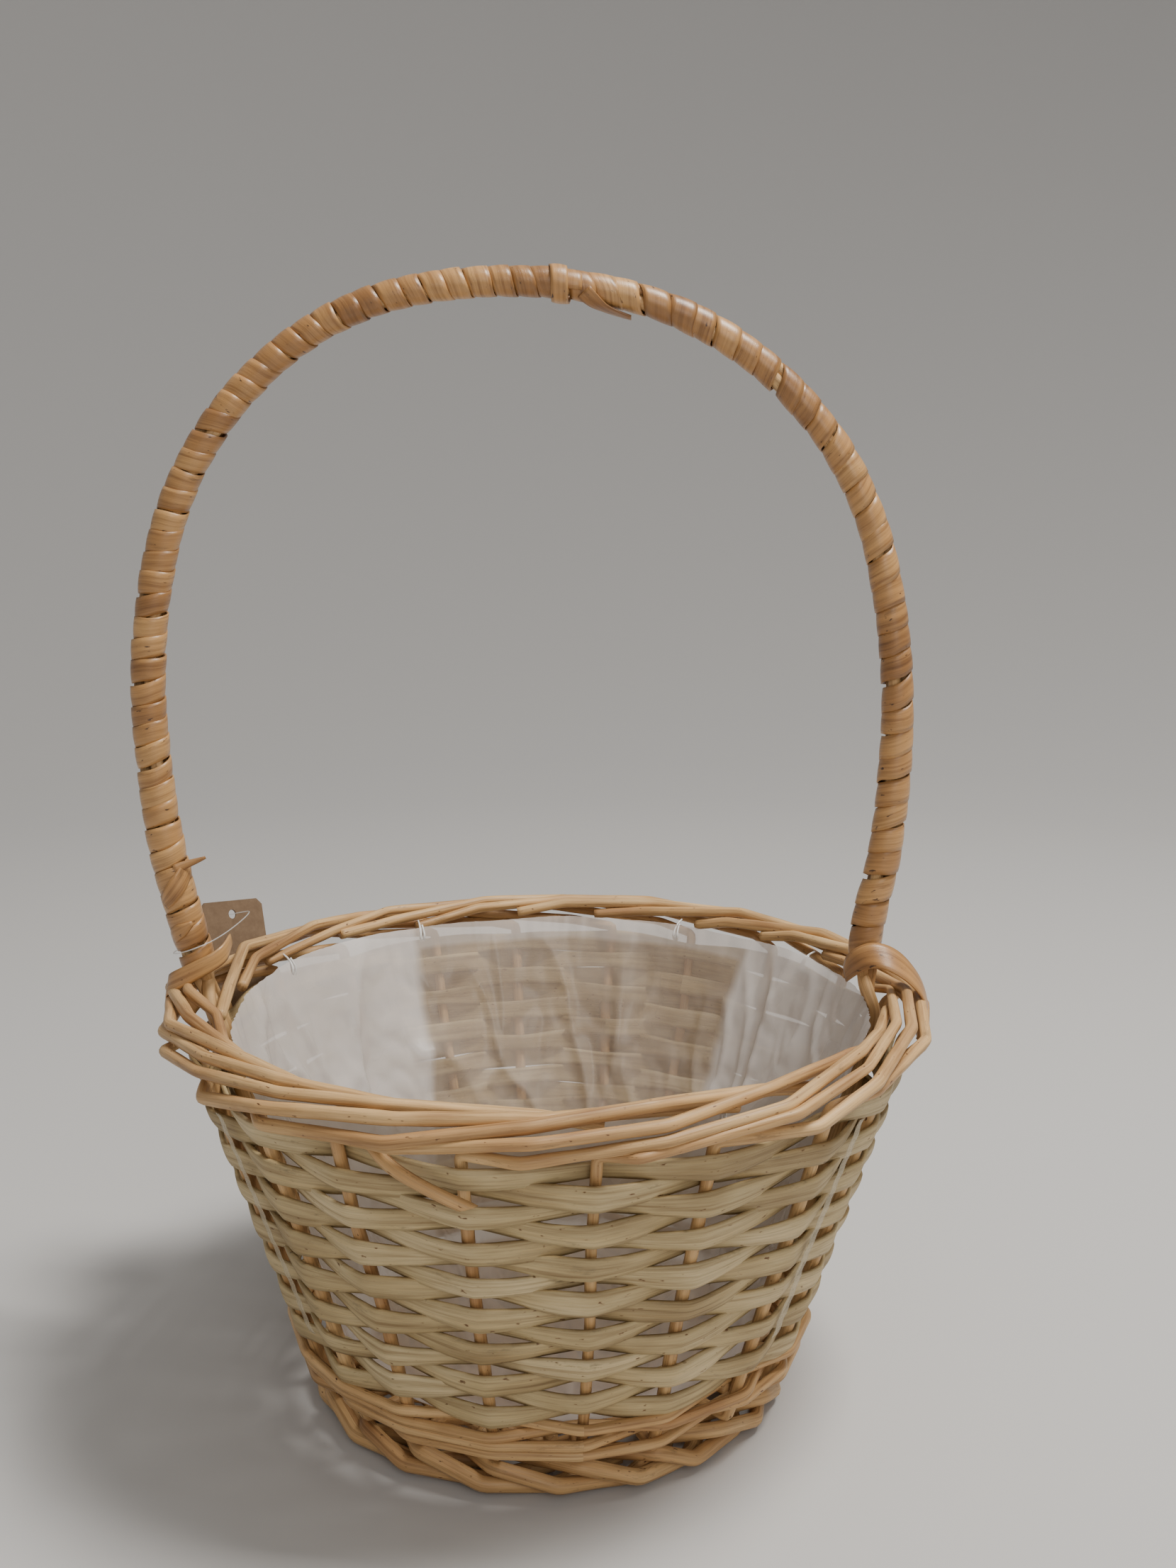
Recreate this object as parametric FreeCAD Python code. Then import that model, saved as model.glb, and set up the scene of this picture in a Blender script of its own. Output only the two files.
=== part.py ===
import FreeCAD, Part
import math
import os

# Willow flower girl basket with a fixed wrapped bow handle, a film liner and a hang tag.
# Millimetres. +Z up, origin on the table at the middle of the foot, front at -Y, bow in the XZ plane.
# Directions round the basket are degrees from the front, turning towards +X.

# ---- driving dimensions ----
STAKE_COUNT = 20
STAKE_PITCH = 360 / STAKE_COUNT
STAKE_R = 1.85             # upright rods, which bend over at the top and become the rolled border
FIRST_STAKE = 6.0
# How far each stake stands from its even place, in degrees: the hand work is uneven.
STAKE_WANDER = (0.3, -1.1, 1.9, 0.4, -0.6, 0.8, -0.9, 0.5, 1.0, -0.7,
                0.6, -1.0, 0.9, 0.2, -0.5, 1.1, 3.5, 1.5, -0.8, 0.0)
WALL_R0 = 66.1             # radius of the stakes' centres at the table, if they reached it
WALL_SLOPE = 0.326         # how much that radius grows for each mm of height
BASE_Z = 13.4              # middle of the base sticks
STAKE_TOP_Z = 112.0        # where the stakes bend over

STRIP_T = 1.2              # split willow weaver
STRIP_H = 5.4
ROW_PITCH = 5.48
ROW_COUNT = 15
FIRST_ROW_Z = 27.4
STRIP_STANDOFF = STAKE_R + STRIP_T / 2 + 0.2

WALE_R = 1.43
WALE_PITCH = 3.0
WALE_COUNT = 4
FIRST_WALE_Z = 16.9
WALE_STANDOFF = STAKE_R + WALE_R + 0.35

# The border's cross-section: where a border rod is after each stake pitch of its run, as radius and height.
BORDER_RUN = ((107.9, 112.2), (108.6, 116.7), (106.3, 120.9), (101.9, 123.1), (97.9, 120.8), (97.4, 117.9))
BORDER_TAIL = 0.67         # the last step is shorter than a stake pitch
KINK_AHEAD = 9.0           # a stake's first kink is this far past its even place, in degrees
INNER_STEPS = 4            # from this step on, a rod is on the border's inner side
# The bow's feet push the border about. A push fades to nothing this many degrees away.
PUSH_REACH = 24.0
LEFT_PUSH_OUT = 5.2
LEFT_PUSH_IN = -4.0
RIGHT_PUSH = 1.6
# The border rod that crosses inward at the left foot first passes it on the outside, up to this point.
CROSSING = (-84.5, 104.2, 124.9)

FOOT_R = 2.3
FOOT_COUNT = 20
# A foot rod's run: degrees from its kink, radius and height.
FOOT_RUN = ((-14.0, 58.0, 7.4), (0.0, 68.7, 9.4), (13.0, 68.6, 4.2), (31.0, 64.0, 2.1), (48.0, 55.0, 2.1))

BASE_STICK_R = 1.8
BASE_STICK_REACH = 62.0
BASE_WEAVE_R = (25.0, 60.0)
BASE_WEAVE_T = 1.2

# The bow's middle line is a smooth curve inside this outline, as x and height.
BOW = ((-105.5, 143), (-111.5, 169.5), (-114.5, 223.5), (-100.5, 277), (-60.5, 316), (-6, 325),
       (47.5, 313), (87.5, 274), (101, 220.5), (99.5, 166.5), (93, 140))
# Below it the three rods go down beside each other, given from the bottom up.
LEFT_FOOT = ((-97.0, 112.0), (-99.6, 121.0), (-101.9, 129.0))
RIGHT_FOOT = ((97.2, 112.2), (94.0, 120.0), (93.1, 129.0))
FOOT_BEND = 14.0
INSERT_Z = 45.0            # how far down the wall the bow's rods are pushed
INSERT_GAP = 5.5           # the rods lie this far inside the stakes' middle line
CORE_R = 2.0
CORE_SPACING = 2.36        # from the bundle's middle to each rod's middle
CORE_ROW = 4.3             # spacing of the same rods side by side at the border
WRAP_R = (4.4, 5.0)
WRAP_MEET_X = 5.0          # where the two wrappings meet, near the top of the bow

LINER_T = 0.5
LINER_FLOOR_Z = 17.3
LINER_TOP = (93.0, 114.0)
LINER_BOTTOM_R = 63.4

TAG_SIZE = (25.0, 36.0, 0.6)
TAG_TURN = 50.0            # the tag faces this many degrees round from straight ahead
TAG_TILT = -7.0            # hangs this much askew
TAG_LEAN = 18.0            # and leans in along the wall by this much
TAG_TOP = (-104.5, 62.5, 132.5)
TAG_HOLE_R = 1.5
TAG_HOLE_DOWN = 4.5
TAG_CLIP = 2.0             # its two upper corners are cut off by this much
LOOP_R = 0.35
# The loop's way round the left foot of the bow, before it goes through the tag's hole.
LOOP_ROUND_BOW = ((-109.5, 9, 132), (-110.8, 0, 132.5), (-103.4, -8.6, 136), (-95.4, -1, 138))

# The lashings are bands over the border. Their outlines are given as x and height, then where they start
# and end across the border.
LASHING_T = 0.8
LASHING_MIDDLE = (103, 117)
LASHING_LEFT = ((-114.9, 111), (-115.6, 117.5), (-113, 124), (-105, 128), (-97.5, 126.5), (-92.6, 121.8),
                (-91.8, 118))
LASHING_LEFT_Y = (-15.0, -8.0)
LASHING_RIGHT = ((113, 111), (113.2, 117.5), (111.4, 124.5), (106.5, 131), (100.5, 135), (94, 135.8),
                 (89, 132.5), (87, 126.5))
LASHING_RIGHT_Y = (-14.5, -6.8)

RIBBON_Z = (107, 40)       # top and bottom of the pale ribbons on the side
RIBBON_SIZE = (3.0, 0.4)
RIBBON_LEFT = -54
RIBBON_RIGHT = 49

LOOSE_END_R = 1.7
LOOSE_END_FROM = (-22.5, 107.6, 108.6)
LOOSE_END_TO = (-10, 106.2, 100)

STITCH_R = 0.4
STITCH_LENGTH = 4.2
STITCH_OUT = 94.3
STITCH_ANGLES = (28, 62, 118, 152, -152, -118, -62, -28)

Z = FreeCAD.Vector(0, 0, 1)


def V(x, y, z):
    return FreeCAD.Vector(x, y, z)


def around(angle, radius, z):
    """A point at an angle round the basket, at a radius and a height."""
    a = math.radians(angle)
    return V(radius * math.sin(a), -radius * math.cos(a), z)


def wall_r(z):
    return WALL_R0 + WALL_SLOPE * z


def stake_angle(k):
    return FIRST_STAKE + STAKE_PITCH * k + STAKE_WANDER[k % STAKE_COUNT]


def rounded_wire(points, bend, closed=False):
    """Straight runs joined by tangent arcs of the bend radius, or as large as the runs allow.

    bend is one radius, or one for each point."""
    count = len(points)
    bends = bend if isinstance(bend, list) else [bend] * count
    corners = []
    for i in range(count):
        if not closed and i in (0, count - 1):
            corners.append((points[i], points[i], None))
            continue
        before = points[i - 1]
        corner = points[i]
        after = points[(i + 1) % count]
        a = before - corner
        b = after - corner
        room = 0.45 * min(a.Length, b.Length)
        a.normalize()
        b.normalize()
        turn = math.pi - a.getAngle(b)
        if turn < 0.01:
            corners.append((corner, corner, None))
            continue
        reach = min(room, bends[i] * math.tan(turn / 2))
        radius = reach / math.tan(turn / 2)
        middle = a + b
        middle.normalize()
        top = corner + middle * (math.hypot(reach, radius) - radius)
        corners.append((corner + a * reach, corner + b * reach, top))
    edges = []
    for i, (start, end, top) in enumerate(corners):
        if top is not None:
            edges.append(Part.Arc(start, top, end).toShape())
        if i < count - 1 or closed:
            edges.append(Part.LineSegment(end, corners[(i + 1) % count][0]).toShape())
    return Part.Wire(edges)


def swept(wire, radius, inner=0.0):
    """A round rod, or a tube with an inner radius, along a wire."""
    first = wire.OrderedEdges[0]
    start = first.valueAt(first.FirstParameter)
    heading = first.tangentAt(first.FirstParameter)
    solids = []
    for r in (radius, inner):
        if r:
            ring = Part.Wire(Part.Circle(start, heading, r).toShape())
            solids.append(wire.makePipeShell([ring], True, False))
    return solids[0].cut(solids[1]) if inner else solids[0]


def rod(points, radius, bend, closed=False):
    return swept(rounded_wire(points, bend, closed), radius)


def save(name, shape):
    """Writes one node. A group of separate pieces is a compound."""
    if isinstance(shape, list):
        shape = Part.makeCompound(shape) if len(shape) > 1 else shape[0]
    for solid in shape.Solids:
        if not solid.isValid() or solid.Volume <= 0:
            print("BAD SOLID", name, solid.isValid(), solid.Volume)
    shape.exportStep("parts/" + name + ".step")


# ---- stakes and rolled border ----

def push(angle, step):
    """How far the bow's feet push a border rod outward at this angle."""
    near_left = max(0.0, 1 - abs(math.remainder(angle + 90, 360)) / PUSH_REACH)
    near_right = max(0.0, 1 - abs(math.remainder(angle - 90, 360)) / PUSH_REACH)
    left = LEFT_PUSH_IN if step >= INNER_STEPS else LEFT_PUSH_OUT
    return near_left * left + near_right * RIGHT_PUSH


def stake(k):
    """One rod: its butt in the base, up the wall, over the top and round as a border rod."""
    angle = stake_angle(k)
    points = [around(angle, 46, BASE_Z)]
    points.append(around(angle, wall_r(BASE_Z), BASE_Z))
    points.append(around(angle, wall_r(STAKE_TOP_Z), STAKE_TOP_Z))
    first = FIRST_STAKE + STAKE_PITCH * k + KINK_AHEAD
    for step, (radius, z) in enumerate(BORDER_RUN):
        along = step if step < len(BORDER_RUN) - 1 else step - 1 + BORDER_TAIL
        here = first + STAKE_PITCH * along
        points.append(around(here, radius + push(here, step), z))
        if step == INNER_STEPS - 1 and abs(math.remainder(here - CROSSING[0], 360)) < STAKE_PITCH / 2:
            points.append(around(*CROSSING))
    return rod(points, STAKE_R, 6.0)


# ---- weavers ----

def side_r(k, z, phase, standoff):
    """Radius of a strand where it crosses stake k: outside it or inside it."""
    side = 1 if phase(k) else -1
    return wall_r(z) + side * standoff


def weaver_row(row):
    """One flat strip, in front of every other stake and behind the rest. Its faces are flat between stakes."""
    low = FIRST_ROW_Z + ROW_PITCH * row
    grow = wall_r(low + STRIP_H) / wall_r(low)
    corners = {}
    for side in (-1, 1):
        for k in range(STAKE_COUNT):
            radius = side_r(k, low, lambda n: (n + row) % 2, STRIP_STANDOFF) + side * STRIP_T / 2
            corners[side, k, 0] = around(stake_angle(k), radius, low)
            corners[side, k, 1] = around(stake_angle(k), radius * grow, low + STRIP_H)
    faces = []
    for k in range(STAKE_COUNT):
        n = (k + 1) % STAKE_COUNT
        for a, b, c, d in (((-1, k, 0), (-1, n, 0), (-1, n, 1), (-1, k, 1)),
                           ((1, k, 0), (1, n, 0), (1, n, 1), (1, k, 1)),
                           ((-1, k, 0), (-1, n, 0), (1, n, 0), (1, k, 0)),
                           ((-1, k, 1), (-1, n, 1), (1, n, 1), (1, k, 1))):
            outline = [corners[p] for p in (a, b, c, d, a)]
            faces.append(Part.Face(Part.makePolygon(outline)))
    shell = Part.Shell(faces)
    shell.sewShape()
    solid = Part.Solid(shell)
    return solid if solid.Volume > 0 else solid.reversed()


def wale_rod(level):
    """One waling rod: in front of two stakes, behind one."""
    z = FIRST_WALE_Z + WALE_PITCH * level
    points = []
    for k in range(STAKE_COUNT):
        radius = side_r(k, z, lambda n: (n + level) % STAKE_COUNT % 3 != 2, WALE_STANDOFF)
        points.append(around(stake_angle(k), radius, z))
    return rod(points, WALE_R, 12.0, closed=True)


# ---- foot ----

def foot_rod(k):
    """One foot border rod: out from under the base, down and round, its underside worn flat."""
    points = []
    for step, radius, z in FOOT_RUN:
        points.append(around(FIRST_STAKE + STAKE_PITCH * k + step, radius, z))
    below = Part.makeBox(200, 200, 10, V(-100, -100, -10))
    return rod(points, FOOT_R, 12.0).cut(below).Solids[0]


# ---- base ----

def base_stick(number, turned, layer):
    """One of five sticks laid side by side, crossed over five more and then fanned out."""
    side = (number - 2) * (2 * BASE_STICK_R + 0.2)
    fan = math.radians(STAKE_PITCH * (number - 2))
    half = []
    for reach in (BASE_STICK_REACH, 24):
        half.append((reach * math.cos(fan), reach * math.sin(fan), BASE_Z))
    half.append((11, side, layer))
    points = [V(x, y, z) for x, y, z in half]
    points += [V(-x, y, z) for x, y, z in reversed(half)]
    stick = rod(points, BASE_STICK_R, 20.0)
    if turned:
        stick.rotate(V(0, 0, 0), Z, 90)
    return stick


def base_weave():
    """The under and over passes of the thin rods woven round the base sticks, as two flat rings."""
    rings = []
    for side in (-1, 1):
        z = BASE_Z + side * (BASE_STICK_R + 0.1 + BASE_WEAVE_T / 2) - BASE_WEAVE_T / 2
        ring = Part.makeCylinder(BASE_WEAVE_R[1], BASE_WEAVE_T, V(0, 0, z))
        rings.append(ring.cut(Part.makeCylinder(BASE_WEAVE_R[0], BASE_WEAVE_T, V(0, 0, z))))
    return rings


# ---- bow handle ----

def bow_line(out, y):
    """The bow's outline, moved outward in its own plane and sideways."""
    line = [V(x, y, z) for x, z in BOW]
    moved = []
    for i, here in enumerate(line):
        before = here - line[i - 1] if i > 0 else line[1] - here
        after = line[i + 1] - here if i < len(line) - 1 else before
        before.normalize()
        after.normalize()
        along = before + after
        along.normalize()
        outward = V(-along.z, 0, along.x)
        moved.append(here + outward * (out / math.cos(before.getAngle(after) / 2)))
    return moved


def core_rod(out, y, row_y):
    """One of the three rods inside the wrapping, from low in the left wall over to the right wall."""
    low = wall_r(INSERT_Z) - INSERT_GAP
    left = [V(-low, row_y, INSERT_Z)] + [V(x, row_y, z) for x, z in LEFT_FOOT[:2]]
    left.append(V(LEFT_FOOT[2][0] - out, y, LEFT_FOOT[2][1]))
    right = [V(RIGHT_FOOT[2][0] + out, y, RIGHT_FOOT[2][1])]
    right += [V(x, row_y, z) for x, z in RIGHT_FOOT[1::-1]] + [V(low, row_y, INSERT_Z)]
    bends = [FOOT_BEND] * 4 + [500.0] * len(BOW) + [FOOT_BEND] * 4
    return rod(left + bow_line(out, y) + right, CORE_R, bends)


def wrap_sleeves():
    """The two wrappings, each a sleeve over half of the bow, which meet near its top."""
    left = V(LEFT_FOOT[2][0], 0, LEFT_FOOT[2][1] + 1)
    right = V(RIGHT_FOOT[2][0], 0, RIGHT_FOOT[2][1] + 1)
    whole = swept(rounded_wire([left] + bow_line(0, 0) + [right], 500.0), WRAP_R[1], WRAP_R[0])
    beyond = Part.makeBox(300, 40, 300, V(WRAP_MEET_X, -20, 100))
    return whole.cut(beyond).Solids[0], whole.common(beyond).Solids[0]


def lashing_band(outline, y_low, y_high):
    """A strip of split willow bent over the border, open underneath where its ends are tucked in."""
    sign = 1 if outline[0][0] > 0 else -1
    middle = V(LASHING_MIDDLE[0] * sign, 0, LASHING_MIDDLE[1])
    inner = [V(x, y_low, z) for x, z in outline]
    outer = []
    for p in inner:
        away = V(p.x - middle.x, 0, p.z - middle.z)
        away.normalize()
        outer.append(p + away * LASHING_T)
    loop = inner + outer[::-1] + [inner[0]]
    return Part.Face(Part.makePolygon(loop)).extrude(V(0, y_high - y_low, 0))


# ---- small pieces ----

def side_ribbon(angle):
    """A thin pale ribbon lying down the outside of the weave."""
    width, thickness = RIBBON_SIZE
    top, bottom = RIBBON_Z
    inside = STRIP_STANDOFF + STRIP_T / 2 + 0.15
    outside = inside + thickness
    outline = []
    for z, out in ((top, inside), (bottom, inside), (bottom, outside), (top, outside), (top, inside)):
        outline.append(V(wall_r(z) + out, -width / 2, z))
    strip = Part.Face(Part.makePolygon(outline)).extrude(V(0, width, 0))
    strip.rotate(V(0, 0, 0), Z, angle - 90)
    return strip


def liner():
    """The film bag: a cup that follows the wall, open at the top."""
    top_r, top_z = LINER_TOP
    outline = [(0, LINER_FLOOR_Z), (LINER_BOTTOM_R, LINER_FLOOR_Z), (top_r, top_z), (top_r - LINER_T, top_z),
               (LINER_BOTTOM_R - LINER_T, LINER_FLOOR_Z + LINER_T), (0, LINER_FLOOR_Z + LINER_T),
               (0, LINER_FLOOR_Z)]
    face = Part.Face(Part.makePolygon([V(x, 0, z) for x, z in outline]))
    return face.revolve(V(0, 0, 0), Z, 360)


def stitch(angle):
    """One tie of thread standing between the film's hem and the border."""
    return Part.makeCylinder(STITCH_R, STITCH_LENGTH, around(angle, STITCH_OUT, LINER_TOP[1] + 0.3), Z)


def loose_rod_end():
    """The cut tail of a rod that has come loose and lies on the outside of the weave."""
    start = around(*LOOSE_END_FROM)
    run = around(*LOOSE_END_TO) - start
    return Part.makeCylinder(LOOSE_END_R, run.Length, start, run)


def tag_axes():
    """The tag's own directions: across its width, down its length, and out of its back."""
    turn = math.radians(TAG_TURN)
    tilt = math.radians(TAG_TILT)
    lean = math.radians(TAG_LEAN)
    level = V(math.cos(turn), math.sin(turn), 0)
    inward = V(math.sin(turn), -math.cos(turn), 0)
    plumb = inward * math.sin(lean) - Z * math.cos(lean)
    across = level * math.cos(tilt) - plumb * math.sin(tilt)
    down = level * math.sin(tilt) + plumb * math.cos(tilt)
    return across, down, across.cross(down)


def tag():
    across, down, back = tag_axes()
    width, length, thickness = TAG_SIZE
    half = width / 2
    outline = ((-half + TAG_CLIP, 0), (half - TAG_CLIP, 0), (half, TAG_CLIP), (half, length),
               (-half, length), (-half, TAG_CLIP), (-half + TAG_CLIP, 0))
    top = V(*TAG_TOP)
    points = [top + across * a + down * d for a, d in outline]
    card = Part.Face(Part.makePolygon(points)).extrude(back * thickness)
    hole = Part.makeCylinder(TAG_HOLE_R, 4, top + down * TAG_HOLE_DOWN - back * 2, back)
    return card.cut(hole)


def tag_loop():
    """The nylon loop: round the left foot of the bow and through the tag's hole, its ends snapped together."""
    across, down, back = tag_axes()
    hole = V(*TAG_TOP) + down * TAG_HOLE_DOWN + back * (TAG_SIZE[2] / 2)
    points = [V(*p) for p in LOOP_ROUND_BOW]
    join = points[0]
    points += [hole + across * 4 - back * 5, hole - back * 2.5, hole + back * 2.5]
    points.append(hole - across * 15 + back * 2.5)
    points.append(join + (points[-1] - join) * 0.02)
    return rod(points, LOOP_R, 2.0)


os.makedirs("parts", exist_ok=True)

for k in range(STAKE_COUNT):
    save("stake_%02d" % (k + 1), stake(k))
for row in range(ROW_COUNT):
    save("weaver_row_%02d" % (row + 1), weaver_row(row))
for level in range(WALE_COUNT):
    save("wale_rod_%d" % (level + 1), wale_rod(level))
save("foot_border", [foot_rod(k) for k in range(FOOT_COUNT)])

LAYER = BASE_STICK_R + 0.1
save("base_sticks_across", [base_stick(i, False, BASE_Z - LAYER) for i in range(5)])
save("base_sticks_along", [base_stick(i, True, BASE_Z + LAYER) for i in range(5)])
save("base_weave", base_weave())

lower = CORE_SPACING / 2
wide = CORE_SPACING * math.sqrt(3) / 2
save("handle_rod_front", core_rod(-lower, -wide, -CORE_ROW))
save("handle_rod_back", core_rod(-lower, wide, CORE_ROW))
save("handle_rod_outer", core_rod(CORE_SPACING, 0, 0))

left_wrap, right_wrap = wrap_sleeves()
save("handle_wrap_left", left_wrap)
save("handle_wrap_right", right_wrap)

save("lashing_left", lashing_band(LASHING_LEFT, *LASHING_LEFT_Y))
save("lashing_right", lashing_band(LASHING_RIGHT, *LASHING_RIGHT_Y))
save("side_strip_left", side_ribbon(RIBBON_LEFT))
save("side_strip_right", side_ribbon(RIBBON_RIGHT))
save("loose_rod_end", loose_rod_end())
save("liner", liner())
save("liner_stitches", [stitch(angle) for angle in STITCH_ANGLES])
save("hang_tag", tag())
save("tag_loop", tag_loop())
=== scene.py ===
# %% [markdown]
# # A willow flower girl basket
#
# The frame that was made first, in CAD, says where every rod, strip and border runs. Here each of those
# pieces is made again as the grower and the weaver leave it: rods that taper, strips that swell where they
# pass a stake, a bow wound with willow skin, and a thin film bag inside. Everything is in metres, but a
# basket is easier to think about in millimetres, so the sizes below are in millimetres and `MM` turns them.

# %% Load the frame
import math

import bmesh
import bpy
import numpy as np
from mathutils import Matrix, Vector, noise


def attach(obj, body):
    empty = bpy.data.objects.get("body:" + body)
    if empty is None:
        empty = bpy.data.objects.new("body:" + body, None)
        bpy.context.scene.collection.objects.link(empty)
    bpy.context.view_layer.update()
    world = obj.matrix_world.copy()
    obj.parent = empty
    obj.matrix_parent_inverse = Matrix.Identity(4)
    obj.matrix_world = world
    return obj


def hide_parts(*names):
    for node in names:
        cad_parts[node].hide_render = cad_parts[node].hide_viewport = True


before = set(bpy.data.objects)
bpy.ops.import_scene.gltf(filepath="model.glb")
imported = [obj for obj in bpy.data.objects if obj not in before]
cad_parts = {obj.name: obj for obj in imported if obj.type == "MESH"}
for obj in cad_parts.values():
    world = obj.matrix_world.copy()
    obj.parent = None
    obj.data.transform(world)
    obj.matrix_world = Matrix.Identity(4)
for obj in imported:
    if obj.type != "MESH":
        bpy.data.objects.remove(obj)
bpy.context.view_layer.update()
MM = 0.001
print("nodes in the frame:", len(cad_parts))

# %% [markdown]
# ## The weaver's numbers
#
# The basket has twenty stakes. They stand almost evenly, because a hand sets them. The wall leans outward,
# so its radius is a straight line against height. Directions round the basket are degrees from the front,
# turning towards the right.

# %% Sizes shared by every piece
STAKES = 20
PITCH = 360 / STAKES
FIRST_STAKE = 6.0
# How far each stake stands from its even place, in degrees.
WANDER = (0.3, -1.1, 1.9, 0.4, -0.6, 0.8, -0.9, 0.5, 1.0, -0.7,
          0.6, -1.0, 0.9, 0.2, -0.5, 1.1, 3.5, 1.5, -0.8, 0.0)
BASE_Z = 13.4              # middle of the base sticks
STAKE_TOP = 112.0          # where a stake bends over
WALL_R0 = 66.1             # the wall's radius, if it went on down to the table
WALL_SLOPE = 0.326         # how much that radius grows for each mm of height


def wall_r(z):
    return WALL_R0 + WALL_SLOPE * z


def stake_angle(k):
    return FIRST_STAKE + PITCH * k + WANDER[k % STAKES]


def around(angle, radius, z):
    """A point at an angle round the basket, at a radius and a height."""
    a = np.radians(angle)
    return np.stack(np.broadcast_arrays(radius * np.sin(a), -radius * np.cos(a), z), axis=-1)


def wobble(x, y=0.0, z=0.0):
    """Smooth, repeatable unevenness between -1 and 1.
    The noise is 0 at whole numbers, so the shift keeps off them."""
    raw = 1.7 * noise.noise(Vector((x * 1.37 + 0.31, y * 1.73 + 0.57, z * 1.19 + 0.83)))
    return max(-1.0, min(1.0, raw))


print("border radius near", round(wall_r(STAKE_TOP)), "mm")

# %% [markdown]
# ## Laying a rod along a line
#
# A willow rod is a long tapering tube. A curve with a round bevel would do, but then its surface has no
# coordinates of its own, and wood grain has to run along the rod. So a flat grid is rolled into a tube
# round the line instead: one side of the grid becomes the length, the other the girth, and both are
# written to the UV map in metres before the seam is welded.

# %% Helpers for lines, rods and strips
def soften(line, reach, step=1.5, closed=False):
    """Evens out the spacing of a line's points and rounds its corners.
    reach is how far a bend spreads, in mm."""
    line = np.asarray(line, float)
    far = np.r_[0, np.cumsum(np.linalg.norm(np.diff(line, axis=0), axis=1))]
    count = max(4, int(far[-1] / step))
    even = np.linspace(0, far[-1], count)
    line = np.stack([np.interp(even, far, line[:, i]) for i in range(3)], axis=1)
    width = max(1, int(reach / step))
    weights = np.hanning(2 * width + 3)[1:-1]
    weights /= weights.sum()
    before, after = 2 * line[0] - line[width:0:-1], 2 * line[-1] - line[-2:-width - 2:-1]
    if closed:
        before, after = line[-width - 1:-1], line[1:width + 1]
    padded = np.r_[before, line, after]
    return np.stack([np.convolve(padded[:, i], weights, mode="valid") for i in range(3)], axis=1)


def ring_line(stops, step=2.0):
    """A line round the basket through stops of angle, radius and height, straight in those three."""
    stops = np.asarray(stops, float)
    points = []
    for a, b in zip(stops[:-1], stops[1:]):
        count = max(2, int(np.linalg.norm(around(*a) - around(*b)) / step))
        for t in np.arange(count) / count:
            points.append(around(*(a + (b - a) * t)))
    points.append(around(*stops[-1]))
    return np.array(points)


def sides_of(line, closed=False):
    """The line's direction at each point and two directions square to it.
    On an open line they are carried along without twisting."""
    along = np.gradient(line, axis=0)
    if closed:
        along[0] = along[-1] = line[1] - line[-2]
    along /= np.linalg.norm(along, axis=1)[:, None]
    first = np.array((0.13, 0.21, 1.0))
    out = []
    for t in along:
        if closed:
            first = np.array((0.0, 0.0, 1.0))
        first = first - t * first.dot(t)
        first /= np.linalg.norm(first)
        out.append(first)
    out = np.array(out)
    return along, out, np.cross(along, out)


def add_grid(bm, places, uv_size, uv_start=(0.0, 0.0), weld=False, marks=None):
    """A grid whose points are put at places[along, across], in mm, with its UV map in metres.
    marks can hold a number for each point, which is kept as the attribute "layers"."""
    along, across = places.shape[0] - 1, places.shape[1] - 1
    mark = bm.verts.layers.float.new("layers") if marks is not None else None
    made = bmesh.ops.create_grid(bm, x_segments=along, y_segments=across, size=0.5)["verts"]
    uv = bm.loops.layers.uv.verify()
    seat = {}
    for v in made:
        i = round((v.co.x + 0.5) * along)
        j = round((v.co.y + 0.5) * across)
        seat[v] = (i, j)
    faces = {f for v in made for f in v.link_faces}
    for f in faces:
        for loop in f.loops:
            i, j = seat[loop.vert]
            loop[uv].uv = (uv_start[0] + uv_size[0] * i / along, uv_start[1] + uv_size[1] * j / across)
    for v, (i, j) in seat.items():
        v.co = Vector(places[i, j]) * MM
        if mark:
            v[mark] = marks[i, j]
    if weld:
        bmesh.ops.remove_doubles(bm, verts=made, dist=1e-6)
    return [v for v in made if v.is_valid]


def add_rod(bm, line, radius, sides=10, kind=0, rough=0.04, closed=False):
    """Rolls a grid round a line. radius is a number, or start and end radii, in mm."""
    low, high = radius if isinstance(radius, tuple) else (radius, radius)
    count = len(line)
    _, out, side = sides_of(line, closed)
    turn = np.linspace(0, 2 * math.pi, sides + 1)
    size = np.linspace(low, high, count)
    for i in range(count):
        size[i] *= 1 + rough * wobble(kind * 3.7 + (i % (count - 1) if closed else i) * 0.11, kind)
    ring = out[:, None] * np.cos(turn)[None, :, None] + side[:, None] * np.sin(turn)[None, :, None]
    places = line[:, None] + ring * size[:, None, None]
    length = np.linalg.norm(np.diff(line, axis=0), axis=1).sum() * MM
    made = add_grid(bm, places, (length, 2 * math.pi * low * MM), (kind * 0.731, kind * 0.317), weld=True)
    rims = {e for v in made if v.is_valid for e in v.link_edges if e.is_boundary}
    bmesh.ops.holes_fill(bm, edges=list(rims), sides=sides + 1)


def piece(name, bm, material, replaces=()):
    """Finishes a mesh as one piece of the basket."""
    bmesh.ops.recalc_face_normals(bm, faces=bm.faces)
    mesh = bpy.data.meshes.new(name)
    bm.to_mesh(mesh)
    bm.free()
    mesh.shade_smooth()
    thing = bpy.data.objects.new(name, mesh)
    bpy.context.scene.collection.objects.link(thing)
    mesh.materials.append(material)
    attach(thing, "basket")
    if replaces:
        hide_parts(*replaces)
    return thing


def thicken(thing, thickness):
    """Gives a strip its thickness, half to each side."""
    solid = thing.modifiers.new("Thickness", "SOLIDIFY")
    solid.thickness = thickness * MM
    solid.offset = 0.0
    solid.use_even_offset = False
    return thing


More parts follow.
